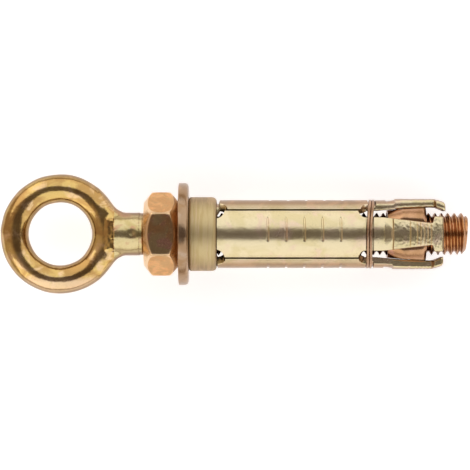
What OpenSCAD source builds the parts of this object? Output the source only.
// Ring anchor bolt: a forged ring bolt in a shield of four pressed segments.
// Millimetres. +X runs along the bolt from the ring to the thread's end, the ring lies flat in
// the XY plane, and the origin is on the bolt's axis at the outer face of the collar.

/* [Bolt] */
// Diameter over the crests of the thread
thread_d = 9.8; // [9.4:0.1:10]
// Pitch of the thread
thread_pitch = 1.5; // [1:0.25:2]
// Depth of the thread
thread_depth = 0.8; // [0.4:0.05:0.95]
// Diameter of the plain shank beside the ring
shank_d = 10; // [9.8:0.1:11]
// Length of thread that stands out past the segments
thread_over = 5.4; // [2:0.1:15]
// Chamfer at the end of the thread
thread_chamfer = 1; // [0.4:0.1:1.6]
// Length of thread that shows between the plain shank and the nut
thread_spare = 1; // [0.4:0.1:6]
// Length of the plain shank, from the thread to the shoulder at the ring
shank_len = 5.9; // [4.5:0.1:20]

/* [Ring] */
// Outside diameter of the ring
ring_od = 27.8; // [25:0.1:36]
// Thickness of the ring's round section
ring_wire = 6.6; // [5:0.1:7.5]
// Distance from the shank's shoulder to the crest of the ring's section
neck_len = 2; // [1.6:0.1:4]
// Radius of the fillets between the ring and the shank
neck_fillet = 3; // [2:0.1:5]
// Thickness of the flat web that carries the fillets
web_t = 6.4; // [3:0.1:6.4]

/* [Nut and washer] */
// Width across the flats of the hex nut
nut_af = 17; // [16:0.1:19]
// Height of the hex nut
nut_h = 8; // [6:0.1:10]
// Width of the nut's end faces, as a share of the width across the flats
nut_face = 0.88; // [0.85:0.01:0.98]
// Angle of the chamfer on the nut's corners
nut_chamfer_deg = 39; // [25:1:45]
// Diameter of the washer
washer_d = 23.8; // [21:0.1:30]
// Thickness of the washer
washer_t = 2.4; // [1.5:0.1:3]
// Radius of the washer's worn edges
washer_edge = 0.45; // [0.1:0.05:0.7]
// Radial clearance of the washer and the collar's flange round the thread
hole_clear = 0.4; // [0.2:0.05:0.6]

/* [Collar] */
// Outside diameter of the collar
collar_d = 17.2; // [17:0.1:18]
// Length of the collar
collar_len = 6.5; // [6:0.1:8]
// Thickness of the flange behind the washer
flange_t = 1.2; // [0.8:0.1:1.5]
// Radius of the collar's edge at the washer
collar_near_edge = 0.65; // [0.2:0.05:1]
// Radius of the collar's edge at the segments
collar_far_edge = 1.05; // [0.4:0.05:1.1]
// Length of the inturned mouth that keeps the segments' lips in
mouth_len = 1.9; // [1.5:0.1:2.2]
// Wall left outside the pocket that the lips turn in
collar_wall = 0.75; // [0.6:0.05:0.8]

/* [Segments] */
// Outside diameter of the shield
shield_d = 15.8; // [15.6:0.1:16.4]
// Thickness of the pressed sheet
sheet = 1.55; // [1.2:0.05:1.6]
// Angle that one segment spans
segment_span = 86; // [80:0.5:87]
// End of the segments, from the collar's outer face
segment_reach = 59.2; // [48:0.1:80]
// Length of a segment's narrow leg and its tip, behind the full-width part
leg_len = 19.8; // [19.4:0.1:22]
// Radius of the round notches beside the collar
notch_r = 2.2; // [1.6:0.1:2.6]
// Half the width of the tongue inside the collar
tongue_half = 3.6; // [3:0.1:3.8]
// Half the width of the leg behind the full-width part
leg_half = 3.85; // [3.4:0.05:4.2]
// Half the width of the leg just before its tip
waist_half = 2.6; // [2:0.05:3]
// Half the width of the T-shaped tip
tip_half = 3.85; // [3.2:0.05:4.2]
// Length of the T-shaped tip
tip_len = 2.5; // [2:0.1:3]
// How far the tip bends inwards
tip_bend = 0.85; // [0.3:0.05:1]
// How far the lip on the tongue stands out behind the collar's mouth
lip_h = 0.6; // [0.5:0.05:0.7]
// Length of the lip
lip_len = 1.2; // [0.9:0.1:1.4]
// Running clearance of the tongues in the collar's mouth
tongue_clear = 0.25; // [0.2:0.05:0.35]
// Running clearance of the lips in the collar's pocket
lip_clear = 0.2; // [0.15:0.05:0.3]
// Clearance left at each end of a segment's play
end_clear = 0.3; // [0.2:0.05:0.3]
// Axial play of the front, top, rear and bottom segments as they lie
slips = [-0.35, 0.3, 0.35, -0.2];

/* [Grip pads] */
// Distance from the full-width part to the pad with cross ridges
pad_gap = 8.1; // [7.8:0.1:9]
// How far the pad stands out of the shield
pad_h = 0.3; // [0.1:0.05:0.4]
// Radius that the pad and the tip are flattened to across the leg
pad_round = 12; // [9:0.5:20]
// Pitch of the cross ridges
ridge_pitch = 1.3; // [0.9:0.1:2]
// Depth of the cross ridges
ridge_depth = 0.18; // [0.08:0.02:0.24]
// Length of the pressed dip in front of the pad
dip_len = 2; // [1:0.1:2.4]
// Depth of the pressed dip
dip_depth = 0.25; // [0.1:0.05:0.3]

/* [Strokes] */
// Number of plain upright strokes pressed into each segment
stroke_count = 5; // [1:1:6]
// Distance from the last stroke to the end of the full-width part
stroke_gap = 4; // [2:0.1:6]
// Distance between strokes
stroke_pitch = 4.2; // [2:0.1:4.2]
// Width of a stroke
stroke_w = 0.4; // [0.2:0.05:0.6]
// Half the height of a stroke
stroke_half = 2.6; // [1.5:0.1:3.4]
// Distance of the strokes' middle from the segment's crown
stroke_shift = 1.25; // [-1.5:0.05:1.5]
// Depth of a stroke
stroke_depth = 0.14; // [0.06:0.02:0.24]

/* [Wire ring] */
// Thickness of the wire
wire_d = 0.6; // [0.5:0.05:0.7]
// Distance from the full-width part to the middle of the wire ring's groove
groove_gap = 2.75; // [2.5:0.05:3.1]
// Width of the groove
groove_w = 2; // [1.8:0.1:2.2]
// Depth of the groove
groove_depth = 0.55; // [0.3:0.05:0.6]
// Clearance of the wire over the bottom of its groove
wire_clear = 0.08; // [0.05:0.01:0.12]

/* [Expander nut] */
// Distance from the full-width part to the expander nut's small end
expander_gap = 6.6; // [6.4:0.1:7.5]
// Length of the expander nut
expander_len = 8.9; // [8:0.1:10]
// Length of its tapered end
expander_taper = 3.5; // [3:0.1:4.5]
// Diameter over its corners
expander_d = 14.2; // [13.8:0.1:15.4]
// Diameter over the corners at its small end
expander_small_d = 11.8; // [11.2:0.1:12.2]
// Height of its flats at the small end, at the end of the taper and at the large end
expander_flats = [5.2, 5.75, 6];
// Chamfer at its large end
expander_chamfer = 0.7; // [0.3:0.1:0.9]
// Clearance between its flats and the segments
wedge_clear = 0.27; // [0.2:0.01:0.4]
// Running clearance of the threads
thread_clear = 0.05; // [0.02:0.01:0.1]

/* [Hidden] */
$fn = 96;

// Cuts and blends reach this far past or into the face that they meet
over = 1;
sink = 0.15;

thread_r = thread_d / 2;
shank_r = shank_d / 2;
bore_r = thread_r + thread_clear;
hole_r = thread_r + hole_clear;
bore_chamfer = 0.7;

// Places along the bolt
nut_x = -washer_t - nut_h;
thread_x = nut_x - thread_spare;
shoulder_x = thread_x - shank_len;
ring_r = (ring_od - ring_wire) / 2;
ring_x = shoulder_x - neck_len - ring_r;

// The fillets' centres lie on the circle that touches both the ring and the shank
fillet_y = shank_r - sink + neck_fillet;
fillet_reach = ring_od / 2 - sink + neck_fillet;
fillet_x = ring_x + sqrt(pow(fillet_reach, 2) - pow(fillet_y, 2));
ring_touch = (ring_od / 2 - sink) / fillet_reach;

// Radii of the shield and of what fits in the collar
shield_r = shield_d / 2;
inner_r = shield_r - sheet;
groove_r = shield_r - groove_depth;
pad_r = shield_r + pad_h;
collar_r = collar_d / 2;
pocket_r = collar_r - collar_wall;
lip_r = pocket_r - lip_clear;
tongue_r = lip_r - lip_h;
mouth_r = tongue_r + tongue_clear;

// Places along a segment, before its own play
play = -min(slips);
full_width_end = segment_reach - leg_len;
groove_x = full_width_end + groove_gap;
pad_start = full_width_end + pad_gap;
stroke_x = full_width_end - stroke_gap;
shoulder_start = collar_len + play + 0.1;
shoulder_run = 0.3;
tongue_x = flange_t + play + end_clear;
tip_x = segment_reach - tip_len;
waist_x = tip_x - 0.5;
leg_x = full_width_end + 1.4;
pad_end = (waist_x + tip_x) / 2;
dip_x = pad_start - dip_len;
flat_x = full_width_end + 1.1;
flat_start = groove_x + groove_w / 2 + 0.6;
full_half = shield_r;

// The inner faces of the legs lie over the expander nut's flats
expander_x = full_width_end + expander_gap;
thread_reach = segment_reach + thread_over;
taper_x = expander_x + expander_taper;
expander_end = expander_x + expander_len;
flat_low = expander_flats[0] + 0.25;
flat_mid = expander_flats[1] + wedge_clear;
flat_high = expander_flats[2] + wedge_clear;

wire_r = groove_r + wire_clear + wire_d / 2;
wire_step = wire_d * 0.97;
// The wire ring leans with the play of the segments that it holds
wire_x = groove_x + (slips[1] + slips[3] + slips[0] + slips[2]) / 4;
lean_top = atan((slips[1] - slips[3]) / 2 / wire_r);
lean_front = atan((slips[0] - slips[2]) / 2 / wire_r);

zinc_straw = [0.80, 0.74, 0.52];
zinc_bronze = [0.62, 0.46, 0.26];
zinc_copper = [0.78, 0.52, 0.36];
zinc_brown = [0.58, 0.38, 0.20];

// Points of an arc about [x, y], from angle a to angle b
function arc(x, y, r, a, b, n = 8) =
    [for (i = [0:n]) [x + r * cos(a + (b - a) * i / n), y + r * sin(a + (b - a) * i / n)]];

// Turns a profile of [radius, place along the bolt] about the bolt's axis
module turned(angle = 360) {
    rotate([0, 90, 0])
        rotate([0, 0, 180 - angle / 2])
            rotate_extrude(angle = angle)
                children();
}

// Extrudes an outline of [place along the bolt, height] to both sides across the bolt
module across(width) {
    rotate([90, 0, 0])
        linear_extrude(height = width, center = true)
            children();
}

module ring_section() {
    translate([ring_r, 0])
        circle(d = ring_wire);
}

// Plan of the web between the ring and the shank, with a fillet at each side
module web_plan() {
    touch_x = ring_x + (fillet_x - ring_x) * ring_touch;
    touch_y = fillet_y * ring_touch;
    low_y = shank_r - sink;
    difference() {
        polygon([
            [shoulder_x - neck_len, -touch_y], [touch_x, -touch_y], [fillet_x, -low_y],
            [fillet_x, low_y], [touch_x, touch_y], [shoulder_x - neck_len, touch_y]
        ]);
        for (side = [-1, 1])
            translate([fillet_x, side * fillet_y])
                circle(r = neck_fillet);
    }
}

// Outline of a cone that takes the web's corners off towards the shank
module web_limit() {
    start = shoulder_x - neck_len;
    polygon([
        [0, start], [shank_r + (fillet_x - start) * 0.73, start],
        [shank_r - sink / 3, fillet_x], [0, fillet_x]
    ]);
}

// Points of the profile of that many grooves of the thread, from a place on
function grooves(x, n) = [
    for (i = [0:n - 1]) each [
        [thread_r, x + (i + 0.1) * thread_pitch],
        [thread_r - thread_depth, x + (i + 0.45) * thread_pitch],
        [thread_r - thread_depth, x + (i + 0.55) * thread_pitch],
        [thread_r, x + (i + 0.9) * thread_pitch]
    ]
];

// The shank and the thread. Grooves stand for the thread where it shows past the segments
module bolt_profile() {
    chamfer_x = thread_reach - thread_chamfer;
    count = floor((chamfer_x - expander_end) / thread_pitch);
    polygon(concat(
        [
            [0, shoulder_x], [shank_r - 0.2, shoulder_x], [shank_r, shoulder_x + 0.2],
            [shank_r, thread_x - 0.3], [thread_r, thread_x]
        ],
        grooves(leg_x, floor((expander_x - leg_x) / thread_pitch)),
        grooves(chamfer_x - count * thread_pitch, count),
        [
            [thread_r, chamfer_x], [thread_r - thread_chamfer, thread_reach], [0, thread_reach]
        ]
    ));
}

module eye_bolt() {
    color(zinc_bronze) {
        translate([ring_x, 0, 0])
            rotate_extrude()
                ring_section();
        intersection() {
            linear_extrude(height = web_t, center = true)
                web_plan();
            turned()
                web_limit();
        }
        turned()
            bolt_profile();
    }
}

module nut_corner_profile() {
    half = nut_af / 2 / cos(30);
    face_r = nut_af / 2 * nut_face;
    drop = (half + over - face_r) * tan(nut_chamfer_deg);
    polygon([
        [0, nut_x], [face_r, nut_x], [half + over, nut_x + drop],
        [half + over, nut_x + nut_h - drop], [face_r, nut_x + nut_h], [0, nut_x + nut_h]
    ]);
}

module nut_bore_profile() {
    rim = bore_r + bore_chamfer;
    polygon([
        [0, nut_x - over], [rim + over, nut_x - over], [bore_r, nut_x + bore_chamfer],
        [bore_r, nut_x + nut_h - bore_chamfer], [rim + over, nut_x + nut_h + over],
        [0, nut_x + nut_h + over]
    ]);
}

module hex_nut() {
    color(zinc_copper)
        difference() {
            intersection() {
                translate([nut_x, 0, 0])
                    rotate([0, 90, 0])
                        rotate([0, 0, 30])
                            cylinder(r = nut_af / 2 / cos(30), h = nut_h, $fn = 6);
                turned()
                    nut_corner_profile();
            }
            turned()
                nut_bore_profile();
        }
}

module washer_profile() {
    rim = washer_d / 2 - washer_edge;
    polygon(concat(
        [[hole_r, -washer_t]],
        arc(rim, washer_edge - washer_t, washer_edge, -90, 0),
        arc(rim, -washer_edge, washer_edge, 0, 90),
        [[hole_r, 0]]
    ));
}

module washer() {
    color(zinc_bronze)
        turned()
            washer_profile();
}

module collar_profile() {
    near = collar_near_edge;
    far = collar_far_edge;
    polygon(concat(
        [[hole_r, 0]],
        arc(collar_r - near, near, near, -90, 0),
        arc(collar_r - far, collar_len - far, far, 0, 90),
        [
            [mouth_r, collar_len], [mouth_r, collar_len - mouth_len],
            [pocket_r, collar_len - mouth_len], [pocket_r, flange_t], [hole_r, flange_t]
        ]
    ));
}

module collar() {
    color(zinc_straw)
        turned()
            collar_profile();
}

// Outside of a segment from its lip to its tip, and its inside as a rolled sheet
module segment_profile() {
    polygon([
        [tongue_r - sheet, tongue_x], [lip_r, tongue_x], [lip_r, tongue_x + lip_len],
        [tongue_r, tongue_x + lip_len], [tongue_r, shoulder_start],
        [shield_r, shoulder_start + shoulder_run],
        [shield_r, groove_x - groove_w / 2], [groove_r, groove_x - groove_w / 2 + 0.25],
        [groove_r, groove_x + groove_w / 2 - 0.25], [shield_r, groove_x + groove_w / 2],
        [shield_r, dip_x], [shield_r - dip_depth, dip_x + 0.4],
        [shield_r - dip_depth, pad_start], [pad_r + over, pad_start],
        [pad_r + over, segment_reach], [inner_r - tip_bend, segment_reach],
        [inner_r, tip_x + 0.2], [inner_r, shoulder_start],
        [tongue_r - sheet, shoulder_start - 0.6]
    ]);
}

// What the press leaves of a leg: a flatter pad with cross ridges and a tip bent inwards
module press_profile() {
    ridges = floor((pad_end - pad_start) / ridge_pitch);
    step = (pad_end - pad_start) / ridges;
    translate([pad_round - pad_r, 0])
        polygon(concat(
            [
                [pad_r / 2, 0], [pad_r * 2, 0], [pad_r * 2, pad_start - sink],
                [pad_r, pad_start - sink]
            ],
            [
                for (i = [0:ridges - 1]) each [
                    [pad_r, pad_start + (i + 0.6) * step],
                    [pad_r - ridge_depth, pad_start + (i + 0.8) * step],
                    [pad_r, pad_start + (i + 1) * step]
                ]
            ],
            [
                [pad_r - tip_bend * 0.75, segment_reach - 0.5],
                [pad_r - tip_bend - 0.3, segment_reach + 0.05],
                [pad_r / 2, segment_reach + 0.05]
            ]
        ));
}

// Plan of half a segment's edge, mirrored about the bolt
module segment_plan() {
    edge = [
        [tongue_x - over, tongue_half], [collar_len, tongue_half], [collar_len, full_half],
        [full_width_end, full_half], [leg_x, leg_half],
        [dip_x - 0.4, leg_half], [waist_x, waist_half], [tip_x, tip_half],
        [segment_reach - 0.4, tip_half], [segment_reach + over, tip_half - 0.8]
    ];
    last = len(edge) - 1;
    difference() {
        polygon(concat(edge, [for (i = [0:last]) [edge[last - i][0], -edge[last - i][1]]]));
        for (side = [-1, 1])
            translate([collar_len, side * (tongue_half + notch_r)])
                circle(r = notch_r);
    }
}

// Side of a segment: the full-width part is open to the axis, the leg's edges are pressed flat inside
module segment_side() {
    polygon([
        [tongue_x - over, 0], [flat_x, 0], [flat_x + 0.3, flat_low], [flat_start, flat_low],
        [taper_x, flat_mid], [waist_x, flat_high], [tip_x, flat_high - 0.1],
        [segment_reach + over, flat_high - tip_bend - 0.4], [segment_reach + over, shield_r * 2],
        [tongue_x - over, shield_r * 2]
    ]);
}

module strokes() {
    intersection() {
        turned(segment_span)
            for (i = [0:stroke_count - 1])
                translate([shield_r - stroke_depth, stroke_x - i * stroke_pitch - stroke_w / 2])
                    square([over, stroke_w]);
        translate([0, stroke_shift - stroke_half, 0])
            cube([full_width_end, stroke_half * 2, shield_r * 2]);
    }
}

// A segment of the shield, turned about the bolt and moved by its play
module segment(turn, slip) {
    color(zinc_straw)
        translate([slip, 0, 0])
            rotate([turn, 0, 0])
                difference() {
                    intersection() {
                        turned(segment_span)
                            segment_profile();
                        translate([0, 0, pad_r - pad_round])
                            turned(segment_span)
                                press_profile();
                        linear_extrude(height = shield_r * 3, center = true)
                            segment_plan();
                        across(shield_r * 3)
                            segment_side();
                    }
                    strokes();
                }
}

module segment_front() {
    segment(0, slips[0]);
}

module segment_top() {
    segment(-90, slips[1]);
}

module segment_rear() {
    segment(180, slips[2]);
}

module segment_bottom() {
    segment(90, slips[3]);
}

// Two turns of wire side by side
module wire_ring() {
    color(zinc_brown)
        translate([wire_x, 0, 0])
            rotate([0, lean_front, -lean_top])
                turned()
                    for (side = [-0.5, 0.5])
                        translate([wire_r, side * wire_step])
                            circle(d = wire_d);
}

module expander_profile() {
    polygon([
        [bore_r, expander_x], [expander_small_d / 2, expander_x], [expander_d / 2, taper_x],
        [expander_d / 2, expander_end - expander_chamfer],
        [expander_d / 2 - expander_chamfer, expander_end], [bore_r, expander_end]
    ]);
}

module expander_side() {
    polygon([
        [expander_x, -expander_flats[0]], [taper_x, -expander_flats[1]],
        [expander_end, -expander_flats[2]], [expander_end, expander_flats[2]],
        [taper_x, expander_flats[1]], [expander_x, expander_flats[0]]
    ]);
}

module expander_nut() {
    color(zinc_copper)
        intersection() {
            turned()
                expander_profile();
            across(expander_d * 2)
                expander_side();
            rotate([90, 0, 0])
                across(expander_d * 2)
                    expander_side();
        }
}

eye_bolt();
hex_nut();
washer();
collar();
segment_front();
segment_top();
segment_rear();
segment_bottom();
wire_ring();
expander_nut();
